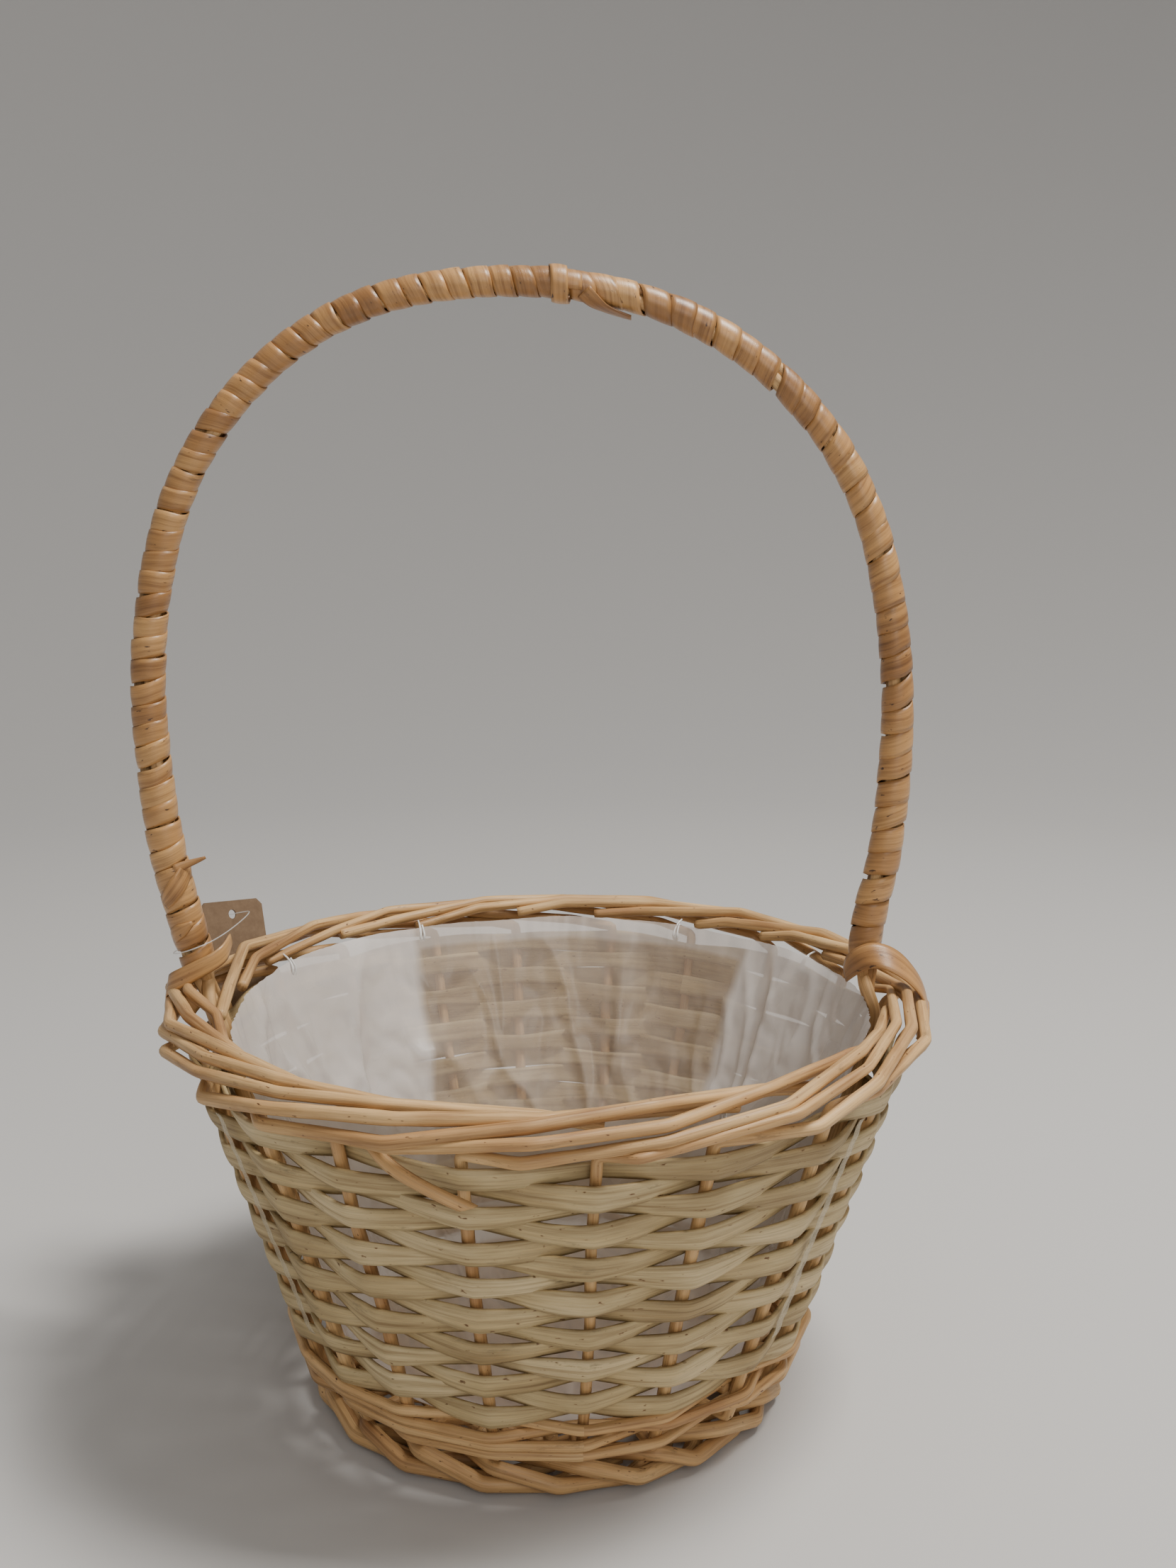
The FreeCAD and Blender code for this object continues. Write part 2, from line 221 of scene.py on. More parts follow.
# %% [markdown]
# ## Willow, three ways
#
# All the wood is willow, but it is not all one finish. Peeled round rods are peach and satin. Split strips
# show the paler, greener inside of the rod and are matt. The skin that winds the bow is golden and shines a
# little. One recipe makes all three: long fibres from noise that is stretched along the UV map, slow
# changes of tone along each rod, and a sprinkling of dark specks and bruises.

# %% A material recipe for willow
def node(tree, kind, **values):
    made = tree.nodes.new(kind)
    for key, value in values.items():
        if key in made.inputs:
            made.inputs[key].default_value = value
        else:
            setattr(made, key, value)
    return made


def ramp(tree, source, stops):
    made = tree.nodes.new("ShaderNodeValToRGB")
    while len(made.color_ramp.elements) < len(stops):
        made.color_ramp.elements.new(0.5)
    for element, (place, colour) in zip(made.color_ramp.elements, stops):
        element.position = place
        element.color = (*colour, 1) if len(colour) == 3 else colour
    tree.links.new(source, made.inputs["Fac"])
    return made.outputs["Color"]


def blend_colour(tree, how, amount, a, b):
    made = tree.nodes.new("ShaderNodeMix")
    made.data_type = "RGBA"
    made.blend_type = how
    if isinstance(amount, float):
        made.inputs["Factor"].default_value = amount
    else:
        tree.links.new(amount, made.inputs["Factor"])
    for socket, value in ((made.inputs["A"], a), (made.inputs["B"], b)):
        if isinstance(value, tuple):
            socket.default_value = (*value, 1)
        else:
            tree.links.new(value, socket)
    return made.outputs["Result"]


def stretched_noise(tree, coordinates, scale, detail=4.0, rough=0.6):
    """Noise on the UV map, with its own fineness along and across the grain, in waves per metre."""
    mapping = node(tree, "ShaderNodeMapping")
    mapping.inputs["Scale"].default_value = (*scale, 1)[:3]
    tree.links.new(coordinates, mapping.inputs["Vector"])
    made = node(tree, "ShaderNodeTexNoise", Scale=1.0, Detail=detail, Roughness=rough)
    tree.links.new(mapping.outputs["Vector"], made.inputs["Vector"])
    return made.outputs["Fac"]


def willow(name, light, mid, dark, speck, shine, coat, grain=0.25):
    material = bpy.data.materials.new(name)
    material.use_nodes = True
    tree = material.node_tree
    shader = tree.nodes["Principled BSDF"]
    uv = node(tree, "ShaderNodeUVMap").outputs["UV"]
    tone = stretched_noise(tree, uv, (16, 40), detail=3.0)
    colour = ramp(tree, tone, ((0.33, dark), (0.5, mid), (0.66, light)))
    streak = stretched_noise(tree, uv, (22, 750), detail=4.0, rough=0.6)
    streak = ramp(tree, streak, ((0.32, (0.55, 0.47, 0.38)), (0.5, (1, 1, 1)), (0.68, (1.2, 1.17, 1.12))))
    colour = blend_colour(tree, "MULTIPLY", 0.85, colour, streak)
    fibre = stretched_noise(tree, uv, (90, 2400), detail=5.0, rough=0.7)
    shade = ramp(tree, fibre, ((0.3, (0.62, 0.56, 0.5)), (0.55, (1, 1, 1))))
    colour = blend_colour(tree, "MULTIPLY", 0.55, colour, shade)
    bruise = stretched_noise(tree, uv, (55, 210), detail=6.0, rough=0.72)
    bruise = ramp(tree, bruise, ((0.60, (0, 0, 0)), (0.70, (1, 1, 1))))
    colour = blend_colour(tree, "MIX", bruise, colour, tuple(c * 0.5 for c in mid))
    dots = stretched_noise(tree, uv, (300, 700), detail=2.0)
    dots = ramp(tree, dots, ((0.67, (0, 0, 0)), (0.73, (1, 1, 1))))
    colour = blend_colour(tree, "MIX", dots, colour, speck)
    tree.links.new(colour, shader.inputs["Base Color"])
    gloss = ramp(tree, fibre, ((0.3, (shine + 0.2,) * 3), (0.7, (shine,) * 3)))
    tree.links.new(gloss, shader.inputs["Roughness"])
    shader.inputs["Coat Weight"].default_value = coat
    shader.inputs["Coat Roughness"].default_value = 0.35
    shader.inputs["Specular IOR Level"].default_value = 0.4
    bump = node(tree, "ShaderNodeBump", Strength=grain, Distance=0.0004)
    tree.links.new(fibre, bump.inputs["Height"])
    tree.links.new(bump.outputs["Normal"], shader.inputs["Normal"])
    return material


peeled = willow("peeled willow", (0.68, 0.455, 0.22), (0.56, 0.345, 0.15), (0.38, 0.20, 0.08),
                (0.12, 0.05, 0.02), 0.42, 0.12)
split = willow("split willow", (0.62, 0.50, 0.29), (0.50, 0.385, 0.20), (0.33, 0.235, 0.11),
               (0.16, 0.08, 0.03), 0.5, 0.05, grain=0.45)
skin = willow("willow skin", (0.58, 0.33, 0.125), (0.45, 0.235, 0.083), (0.27, 0.125, 0.04),
              (0.07, 0.03, 0.012), 0.27, 0.45, grain=0.3)
print("wood finishes:", peeled.name, split.name, skin.name)

# %% [markdown]
# ## The camera
#
# The basket is looked down on a little, from the front and slightly above its border. The camera comes
# first, so that every piece can be judged as it is made.

# %% Camera
camera = bpy.data.objects.new("Camera", bpy.data.cameras.new("Camera"))
bpy.context.scene.collection.objects.link(camera)
bpy.context.scene.camera = camera
camera.location = (0, -0.4818, 0.2741)
camera.rotation_euler = (math.pi / 2 - 0.1873, 0, -0.02369)
camera.data.sensor_width = 36
camera.data.lens = 39.06
camera.data.clip_start = 0.01

# %% [markdown]
# ## Stakes and rolled border
#
# One rod does two jobs. Its butt is pushed into the base, it stands up through the weave as a stake, and
# at the top it is bent over and rolled round with its neighbours to make the border. Each rod comes up
# under the border's outer edge, runs over the top and ends inside, five stakes further round, so that four
# or five rods lie side by side wherever the border is cut. The bow's feet push the border apart.

# %% Lines of the border rods
BORDER_RUN = ((107.9, 112.2), (108.6, 116.7), (106.3, 120.9), (101.9, 123.1), (97.9, 120.8), (97.4, 117.9))
BORDER_TAIL = 0.67         # the last step is shorter than a stake pitch
KINK_AHEAD = 9.0           # a stake's first kink is this far past its even place, in degrees
INNER_STEPS = 4            # from this step on, a rod is on the border's inner side
PUSH_REACH = 24.0          # the push of the bow's feet fades to nothing this many degrees away
CROSSING = (-84.5, 104.2, 124.9)


def push(angle, step):
    """How far a bow's foot pushes a border rod outward, in mm."""
    near_left = max(0.0, 1 - abs(math.remainder(angle + 90, 360)) / PUSH_REACH)
    near_right = max(0.0, 1 - abs(math.remainder(angle - 90, 360)) / PUSH_REACH)
    return near_left * (-4.0 if step >= INNER_STEPS else 5.2) + near_right * 1.6


def border_stops(k):
    """Where rod k is after each step of its run round the border."""
    first = FIRST_STAKE + PITCH * k + KINK_AHEAD
    stops = []
    for step, (radius, z) in enumerate(BORDER_RUN):
        along = step if step < len(BORDER_RUN) - 1 else step - 1 + BORDER_TAIL
        here = first + PITCH * along
        out = radius + push(here, step) + 0.4
        stops.append((here + 5.0 * wobble(k, step, 1), out + 1.2 * wobble(k, step, 2),
                      z + 1.3 * wobble(k, step, 3) + (0.8 if step < 2 else 0.0)))
        if step == INNER_STEPS - 1 and abs(math.remainder(here - CROSSING[0], 360)) < PITCH / 2:
            stops.append((CROSSING[0] + 360 * round((here - CROSSING[0]) / 360), *CROSSING[1:]))
    return stops


def stake_line(k):
    angle = stake_angle(k)
    up = [around(angle, 46, BASE_Z), around(angle, wall_r(BASE_Z), BASE_Z)]
    for z in (35, 60, 85):
        up.append(around(angle + 0.5 * wobble(k, z), wall_r(z), z))
    up.append(around(angle, wall_r(STAKE_TOP), STAKE_TOP + 0.5))
    over = [around(*stop) for stop in border_stops(k)]
    return soften(np.array(up + over), 2.0)


for k in range(STAKES):
    bm = bmesh.new()
    thick = 1.75 * (1 + 0.14 * wobble(k, 5))
    add_rod(bm, stake_line(k), (thick, thick * 0.96), sides=12, kind=k, rough=0.06)
    name = "stake_%02d" % (k + 1)
    piece(name + "_rod", bm, peeled, [name])
print("stakes laid:", STAKES)

# %% [markdown]
# ## The woven side
#
# The weavers are flat strips, split from thicker rods. Each one passes in front of every other stake and
# behind the rest, and the next row does the opposite. A strip is wider where it passes in front of a stake
# and narrower where it goes behind one. It starts as a grid one strip wide and one round long, whose two
# ends are welded.

# %% Which side of the stakes a strip is on
ROWS = 15
ROW_PITCH = 5.48
FIRST_ROW = 30.1           # middle of the lowest row
STRIP_T = 1.15
STRIP_WIDTH = 5.8
STRIP_SWELL = 1.1          # wider by this on the outside of a stake, narrower by it on the inside
STRIP_STANDOFF = 2.6       # from the stakes' middle line to the strip's middle
STIFFNESS = 0.72           # 1 for strips that run straight from stake to stake, 0 for soft bends


def weave_side(angle, row):
    """1 where the row is outside a stake, -1 where it is inside one, and a smooth swing between."""
    k = int((angle - FIRST_STAKE) // PITCH) - 1
    while stake_angle(k + 1) <= angle:
        k += 1
    a, b = stake_angle(k), stake_angle(k + 1)
    t = (angle - a) / (b - a)
    straight = 1 - 2 * min(1, max(0, t))
    bent = math.sin(straight * math.pi / 2)
    sign = 1 if (k + row) % 2 else -1
    return sign * (STIFFNESS * straight + (1 - STIFFNESS) * bent)

# %% [markdown]
# The strip's path is now one number that swings between -1 and 1. The rest is unevenness: each row
# wanders up and down a little, and its width and tilt change as it goes round. The two ends meet behind a
# stake at the back. The strips are a little wider there, so the rows are packed closer than at the front.

# %% Weaver rows
def weaver_row(row):
    middle = FIRST_ROW + ROW_PITCH * row
    steps, across = 440, 5
    places = np.zeros((steps + 1, across + 1, 3))
    start = stake_angle(8 + row % 2 + 2 * (row % 3))
    slope = math.atan(WALL_SLOPE)
    for i in range(steps + 1):
        angle = start + 360 * (i % steps) / steps
        side = weave_side(angle, row)
        a = math.radians(angle)
        drift = 0.6 * wobble(math.sin(a) * 2.5, math.cos(a) * 2.5, row * 5.1)
        width = STRIP_WIDTH + STRIP_SWELL * side + wobble(math.sin(a) * 3, math.cos(a) * 3, row * 2.3)
        width += 0.8 * max(0.0, -math.cos(a))
        for j in range(across + 1):
            w = j / across - 0.5
            crown = 0.45 * (0.25 - w * w) * 4
            lean = 0.8 * w * wobble(math.sin(a) * 4, math.cos(a) * 4, row * 3.1 + 7)
            out = STRIP_STANDOFF * side + crown * (0.6 + 0.4 * side) + lean
            up = w * width
            z = middle + drift + up * math.cos(slope)
            radius = wall_r(middle + drift) + up * math.sin(slope) + out * math.cos(slope)
            places[i, j] = around(angle, radius, z - out * math.sin(slope))
    bm = bmesh.new()
    length = 2 * math.pi * wall_r(middle) * MM
    add_grid(bm, places, (length, 5.5 * MM), (row * 0.83, row * 0.41), weld=True)
    name = "weaver_row_%02d" % (row + 1)
    return thicken(piece(name + "_strip", bm, split, [name]), STRIP_T)


for row in range(ROWS):
    weaver_row(row)
print("weaver rows:", ROWS)

# %% [markdown]
# ## Waling and foot
#
# Four thin round rods, the wale, lock the bottom of the side: each passes in front of two stakes and
# behind one. Under them the foot border keeps the base off the table. Its rods are the thickest in the
# basket. Each comes out from under the base, bends sharply down at the foot's edge and slants away under
# its neighbours.

# %% Wale rods
WALES = 4
FIRST_WALE = 16.9
WALE_PITCH = 3.0
WALE_R = 1.5
WALE_FRONT = 3.5           # how far out of the stakes' middle line a wale rod runs in front of a stake
WALE_BACK = -3.3


def wale_line(level):
    z = FIRST_WALE + WALE_PITCH * level
    stops = []
    for k in range(STAKES + 1):
        front = (k + level) % STAKES % 3 != 2
        stops.append((stake_angle(k), wall_r(z) + (WALE_FRONT if front else WALE_BACK),
                      z + 0.35 * wobble(k % STAKES, level, 9)))
    return soften([around(*stop) for stop in stops], 4.0, closed=True)


for level in range(WALES):
    bm = bmesh.new()
    add_rod(bm, wale_line(level), WALE_R, sides=10, kind=40 + level, closed=True)
    piece("wale_rod_%d_round" % (level + 1), bm, peeled, ["wale_rod_%d" % (level + 1)])
print("wale rods:", WALES)

# %% Foot border rods
FOOT_R = 2.3
# Where a foot rod is after each bend: degrees past its place, radius and height.
FOOT_RUN = ((-14.0, 58.0, 7.4), (0.0, 69.2, 9.4), (13.0, 69.4, 4.2), (31.0, 65.0, 2.4), (48.0, 55.0, 2.4))
bm = bmesh.new()
for k in range(STAKES):
    stops = []
    for i, (angle, radius, z) in enumerate(FOOT_RUN):
        lift = 0.7 * wobble(k, i, 5) if i < 3 else 0
        stops.append(around(FIRST_STAKE + PITCH * k + angle + 2.5 * wobble(k, i, 4),
                            radius + 0.6 * wobble(k, i, 6), z + lift))
    thick = FOOT_R * (1 + 0.08 * wobble(k, 8))
    add_rod(bm, soften(stops, 2.0), (thick, thick * 0.95), sides=12, kind=60 + k)
piece("foot_border_rods", bm, peeled, ["foot_border"])
print("foot rods:", STAKES)

# %% [markdown]
# ## The base
#
# Five sticks lie across five more, their ends fan out like spokes, and a thin rod is woven round them,
# over one and under the next.

# %% Base sticks and base weave
def base_stick_line(number, layer):
    side = (number - 2) * 3.8
    fan = math.radians(PITCH * (number - 2))
    half = [(reach * math.cos(fan), reach * math.sin(fan), BASE_Z) for reach in (62.0, 24.0)]
    half.append((11, side, layer))
    return soften(half + [(-x, y, z) for x, y, z in reversed(half)], 4.0)


BASE_LAYER = 1.9           # the two layers of sticks lie this far below and above their middle
BASE_STICK_R = 1.8
for name, layer, turned in (("base_sticks_across", BASE_Z - BASE_LAYER, False),
                            ("base_sticks_along", BASE_Z + BASE_LAYER, True)):
    bm = bmesh.new()
    for number in range(5):
        line = base_stick_line(number, layer)
        if turned:
            line = np.stack([-line[:, 1], line[:, 0], line[:, 2]], axis=1)
        add_rod(bm, line, BASE_STICK_R, sides=10, kind=90 + number + 5 * turned)
    piece(name + "_round", bm, peeled, [name])

bm = bmesh.new()
rings = 15
for ring in range(rings):
    radius = 25.5 + ring * 2.35
    stops = []
    for k in range(41):
        swing = math.cos(math.pi * k / 2) * (1 if ring % 2 else -1) if k % 2 == 0 else 0
        stops.append((k * 9.0, radius, BASE_Z + 2.75 * swing))
    line = soften(ring_line(stops), 3.0, step=2.0, closed=True)
    add_rod(bm, line, 1.05, sides=7, kind=110 + ring, closed=True)
piece("base_weave_rods", bm, peeled, ["base_weave"])
print("base rings:", rings)

# %% [markdown]
# ## The bow
#
# Three rods side by side make the bow. They are pushed deep into the wall beside the stakes, spread in a
# row where they come up through the border, and then draw together into a bundle. The middle of the bundle
# is one flowing line: a curve that touches each side of a given outline at its middle.

# %% The bow's three rods
BOW = ((-105.5, 143), (-111.5, 169.5), (-114.5, 223.5), (-100.5, 277), (-60.5, 316), (-6, 325),
       (47.5, 313), (87.5, 274), (101, 220.5), (99.5, 166.5), (93, 140))
LEFT_FOOT = ((-75.3, 45.0), (-97.0, 112.0), (-99.6, 121.0), (-101.9, 129.0))
RIGHT_FOOT = ((93.1, 129.0), (94.0, 120.0), (97.2, 112.2), (75.3, 45.0))
FRONT = np.array((0.0, -1.0, 0.0))


def flowing(corners, step=1.5):
    """A curve inside a line of corners. It touches each side at its middle."""
    corners = np.asarray(corners, float)
    middles = (corners[:-1] + corners[1:]) / 2
    t = np.linspace(0, 1, 25)[:, None]
    line = [corners[:1]]
    for a, corner, b in zip(middles[:-1], corners[1:-1], middles[1:]):
        line.append((1 - t) ** 2 * a + 2 * t * (1 - t) * corner + t ** 2 * b)
    line.append(corners[-1:])
    return soften(np.concatenate(line), 2.0, step)


bow = flowing([(x, 0, z) for x, z in LEFT_FOOT + BOW + RIGHT_FOOT])
bow_along = np.gradient(bow, axis=0)
bow_along /= np.linalg.norm(bow_along, axis=1)[:, None]
bow_out = np.cross(FRONT, bow_along)
bow_far = np.r_[0, np.cumsum(np.linalg.norm(np.diff(bow, axis=0), axis=1))]
top = int(np.argmax(bow[:, 2]))


def bow_radius(far):
    """The wrapped bow is thick at its feet and slim at the top."""
    x = np.interp(far, bow_far, bow[:, 0])
    z = np.interp(far, bow_far, bow[:, 2])
    thick = np.where(x < 0, 5.15, 4.75)
    return 4.15 + (thick - 4.15) * np.clip((310 - z) / 150, 0, 1)


def bow_rod(number):
    """One rod of the bundle: in a row at the border, in a triangle under the wrapping."""
    row = (number - 1) * 4.3
    turn = math.radians((120, 0, -120)[number])
    gather = np.clip((bow[:, 2] - 117) / 13, 0, 1)[:, None]
    gather = gather * gather * (3 - 2 * gather)
    spread = ((bow_radius(bow_far) - 0.75) * 0.54)[:, None]
    bundle = spread * (math.cos(turn) * bow_out - math.sin(turn) * FRONT)
    return bow + gather * bundle + (1 - gather) * np.array((0, row, 0))


for number, name in enumerate(("front", "outer", "back")):
    bm = bmesh.new()
    add_rod(bm, bow_rod(number), (2.0, 1.75), sides=12, kind=30 + number)
    piece("bow_rod_" + name, bm, peeled, ["handle_rod_" + name])
print("bow length:", round(bow_far[-1]), "mm, top at", round(bow[top, 2]), "mm")

# %% [markdown]
# ## The wrapping
#
# A flat strip of willow skin winds round the bow like a bandage. It could be a smooth sleeve with painted
# seams, but the seams are what the eye follows: each turn lies a little over the turn before it, and here
# and there two turns miss each other and the pale rods show. So the strip is one long grid, wound in a
# loop that adds the unevenness of the hand, and given its thickness afterwards.

# %% Winding the strip
TURN_STEPS = 26


def wound_strip(name, start, end, pitch, kind, replaces):
    """Winds a strip round the bow between two distances along it, each turn pitch mm further."""
    turns = (end - start) / pitch
    steps = int(turns * TURN_STEPS)
    across = 5
    places = np.zeros((steps + 1, across + 1, 3))
    for i in range(steps + 1):
        turn = turns * i / steps
        phi = 2 * math.pi * turn
        here = start + pitch * (turn + 0.16 * wobble(turn * 0.9, kind) + 0.06 * wobble(turn * 3.1, kind, 4))
        width = pitch * (1.03 + 0.10 * wobble(turn * 0.55, kind, 2) + 0.04 * wobble(turn * 3.7, kind, 3))
        lean = 0.28 + 0.14 * wobble(turn * 0.8, kind, 5)
        puff = 0.10 * wobble(turn * 2.3, kind, 6)
        for j in range(across + 1):
            w = j / across - 0.5
            far = here + w * width
            middle = np.array([np.interp(far, bow_far, bow[:, n]) for n in range(3)])
            out = np.array([np.interp(far, bow_far, bow_out[:, n]) for n in range(3)])
            radius = float(bow_radius(far)) - 0.55
            radius *= 1 + 0.022 * math.cos(3 * phi)
            radius += lean * (w + 0.5) * 1.3 + 0.2 * (0.25 - w * w) * 4 + puff
            places[i, j] = middle + radius * (math.cos(phi) * out + math.sin(phi) * FRONT)
    bm = bmesh.new()
    length = turns * 2 * math.pi * 4.6 * MM
    add_grid(bm, places, (length, pitch * MM), (kind * 0.37, kind * 0.21))
    return thicken(piece(name, bm, skin, replaces), 0.5)


def far_at(x, after_top):
    """How far along the bow its line passes x, before or after its top."""
    part = slice(top, None) if after_top else slice(0, top)
    nearest = np.argmin(np.abs(bow[part, 0] - x))
    return bow_far[part][nearest]


def far_at_height(z, right):
    part = slice(top, None) if right else slice(0, top)
    return bow_far[part][np.argmin(np.abs(bow[part, 2] - z))]


MEET = far_at(5.0, True)
low_left = far_at_height(131.5, False)
low_right = far_at_height(132.5, True)
wound_strip("bow_wrapping_left", low_left, MEET + 1.5, 6.05, 3, ["handle_wrap_left"])
wound_strip("bow_wrapping_right", MEET + 2.5, low_right, 7.2, 8, ["handle_wrap_right"])
print("turns:", round((MEET - low_left) / 6.05), "left,", round((low_right - MEET) / 7.2), "right")

# %% [markdown]
# ## A flat strip along a line
#
# The lashings, the ribbons and the loose ends of the wrapping are all flat strips that follow a line of
# their own. A strip needs to know two things at each point: where its middle is and which way its face
# looks. Its width lies square to both.

# %% A helper for flat strips
def flat_strip(name, corners, facing, widths, material, replaces=(), thickness=0.5, crown=0.25, kind=0,
               step=1.2):
    """A strip whose middle flows inside corners. facing and widths hold one value for each corner."""
    corners = np.asarray(corners, float)
    middle = flowing(corners, step)
    far = np.r_[0, np.cumsum(np.linalg.norm(np.diff(corners, axis=0), axis=1))]
    share = np.linspace(0, far[-1], len(middle))
    facing = np.stack([np.interp(share, far, np.asarray(facing, float)[:, n]) for n in range(3)], axis=1)
    width = np.interp(share, far, widths)
    along = np.gradient(middle, axis=0)
    along /= np.linalg.norm(along, axis=1)[:, None]
    side = np.cross(along, facing)
    side /= np.linalg.norm(side, axis=1)[:, None]
    face = np.cross(side, along)
    across = 6
    places = np.zeros((len(middle), across + 1, 3))
    for j in range(across + 1):
        w = j / across - 0.5
        lift = crown * (1 - 4 * w * w)
        places[:, j] = middle + side * (w * width)[:, None] + face * lift
    bm = bmesh.new()
    add_grid(bm, places, (far[-1] * MM, float(np.mean(widths)) * MM), (kind * 0.53, kind * 0.29))
    return thicken(piece(name, bm, material, replaces), thickness)

# %% [markdown]
# ## Where the wrapping begins and ends
#
# At the left foot the strip leaves the bundle on a slant and loops round the outside of the rods before it
# disappears into the border. At the right foot it is turned into one wide band over the border. Near the
# top, where the first strip ran out and the second began, one end is tucked across the other, and another
# sticks out underneath.

# %% Lashings, knot and loose strip ends
flat_strip("lashing_left_strip",
           ((-93.6, 3.0, 136.0), (-94.2, -4.5, 133.5), (-101.0, -6.6, 130.2), (-108.0, -5.2, 126.4),
            (-112.4, -0.5, 123.0), (-110.8, 4.6, 118.0), (-105.0, 6.0, 113.0)),
           ((1, 0, 0), (0.6, -0.8, 0), (0, -1, 0), (-0.5, -0.85, 0), (-1, 0, 0.1), (-0.7, 0.7, 0),
            (-0.3, 0.9, 0)),
           (4.4, 4.8, 5.2, 5.4, 5.4, 5.0, 4.2), skin, ["lashing_left"], kind=21)
flat_strip("lashing_right_strip",
           ((107.5, -8.0, 108.5), (110.6, -8.5, 115.5), (109.0, -9.2, 122.5), (104.5, -9.4, 128.5),
            (98.5, -9.0, 133.0), (92.8, -8.0, 133.6), (88.4, -5.6, 130.0), (87.4, -0.5, 125.5)),
           ((1, -0.2, 0), (1, -0.2, 0.1), (0.85, -0.3, 0.45), (0.6, -0.5, 0.65), (0.1, -0.7, 0.75),
            (-0.2, -0.85, 0.5), (-0.7, -0.7, 0.1), (-1, -0.1, 0)),
           (5.0, 6.4, 7.4, 7.8, 8.0, 7.6, 6.6, 5.2), skin, ["lashing_right"], kind=22)


def bow_place(far, phi, radius):
    """A point and its outward direction on the wrapped bow, phi degrees round from its outer side."""
    middle = np.array([np.interp(far, bow_far, bow[:, n]) for n in range(3)])
    out = np.array([np.interp(far, bow_far, bow_out[:, n]) for n in range(3)])
    face = math.cos(math.radians(phi)) * out + math.sin(math.radians(phi)) * FRONT
    return middle + face * radius, face


def strip_on_bow(name, stops, widths, kind):
    """A flat strip through stops of distance along the bow, degrees round it and distance from its middle."""
    places, faces = zip(*(bow_place(*stop) for stop in stops))
    return flat_strip(name, places, faces, widths, skin, kind=kind, step=0.8)


knot = [(MEET - 2.5 + 3.2 * t, -70 + 330 * t, 4.75 + 0.35 * math.sin(math.pi * t))
        for t in np.linspace(0, 1, 13)]
strip_on_bow("bow_knot_strip", knot + [(MEET + 1.0, 285, 5.6)], [4.6] * 12 + [3.2, 0.8], 23)
strip_on_bow("bow_loose_end", [(MEET + 6, 110, 4.3), (MEET + 9, 140, 4.6), (MEET + 12, 160, 4.9),
                               (MEET + 17, 165, 5.5), (MEET + 20.5, 160, 5.9)], [4.5, 4.6, 4.4, 3.6, 2.2], 24)
fold = far_at_height(152.5, False)
strip_on_bow("bow_folded_strip", [(fold - 3.5, 40, 5.0), (fold - 1.5, 75, 5.6), (fold + 1.5, 110, 5.9),
                                  (fold + 5.0, 150, 5.6), (fold + 6.5, 175, 5.2)],
             [4.0, 5.0, 5.2, 4.6, 3.0], 25)
splinter = far_at_height(158.5, False)
strip_on_bow("bow_splinter", [(splinter, 110, 5.0), (splinter + 0.5, 140, 5.7), (splinter + 0.8, 160, 8.2),
                              (splinter + 1.4, 168, 11.0)], [2.6, 2.4, 1.6, 0.7], 26)
strip_on_bow("bow_seam_end_left", [(fold - 15, -20, 5.1), (fold - 13.5, 30, 5.5), (fold - 12, 80, 5.6),
                                   (fold - 10.5, 120, 5.5)], [3.0, 4.6, 4.2, 1.0], 27)
print("loose strips on the bow: 5")

# %% [markdown]
# ## Small things on the side
#
# A rod's cut tail has sprung out below the border, and two thin pale ribbons that held the film bag lie
# down the weave, sunk a little into it between the strips.

# %% Loose rod end and ribbons
bm = bmesh.new()
tail = flowing((around(-25.5, 101.5, 112), around(-21.5, 106.4, 109.2), around(-16, 107.4, 105),
                around(-9.5, 106.0, 99.5)))
add_rod(bm, tail, (1.75, 1.6), sides=12, kind=50)
slant = around(-10.6, 106.0, 100.4)
bmesh.ops.bisect_plane(bm, geom=bm.verts[:] + bm.edges[:] + bm.faces[:], plane_co=Vector(slant) * MM,
                       plane_no=Vector((0.25, -0.2, -1.0)), clear_outer=True)
bmesh.ops.holes_fill(bm, edges=[e for e in bm.edges if e.is_boundary], sides=40)
piece("loose_rod_tail", bm, peeled, ["loose_rod_end"])


def clear_film(name, colour, rough, alpha):
    material = bpy.data.materials.new(name)
    material.use_nodes = True
    tree = material.node_tree
    shader = tree.nodes["Principled BSDF"]
    shader.inputs["Base Color"].default_value = (*colour, 1)
    shader.inputs["Alpha"].default_value = alpha
    uv = node(tree, "ShaderNodeUVMap").outputs["UV"]
    crinkle = stretched_noise(tree, uv, (180, 400), detail=4.0)
    gloss = ramp(tree, crinkle, ((0.35, (rough,) * 3), (0.7, (rough + 0.25,) * 3)))
    tree.links.new(gloss, shader.inputs["Roughness"])
    bump = node(tree, "ShaderNodeBump", Strength=0.35, Distance=0.0005)
    tree.links.new(crinkle, bump.inputs["Height"])
    tree.links.new(bump.outputs["Normal"], shader.inputs["Normal"])
    return material


ribbon = clear_film("pale ribbon", (0.62, 0.54, 0.38), 0.22, 0.36)


def side_ribbon(name, angle, lean, kind, replaces):
    """A ribbon down the outside of the weave. lean is how far it drifts round on its way down, in degrees."""
    stops = []
    facing = []
    for n, z in enumerate(np.linspace(107, 40, 26)):
        share = (107 - z) / 67
        here = angle + lean * share + 0.5 * wobble(z * 0.06, kind)
        stops.append(around(here, wall_r(z) + 3.75 + 0.35 * math.cos(2 * math.pi * n / 2), z))
        facing.append(around(here, 1.0, 0.0))
    return flat_strip(name, stops, facing, [3.0 + 0.3 * wobble(n * 0.4, kind, 3) for n in range(26)], ribbon,
                      replaces, thickness=0.12, crown=0.1, kind=kind)


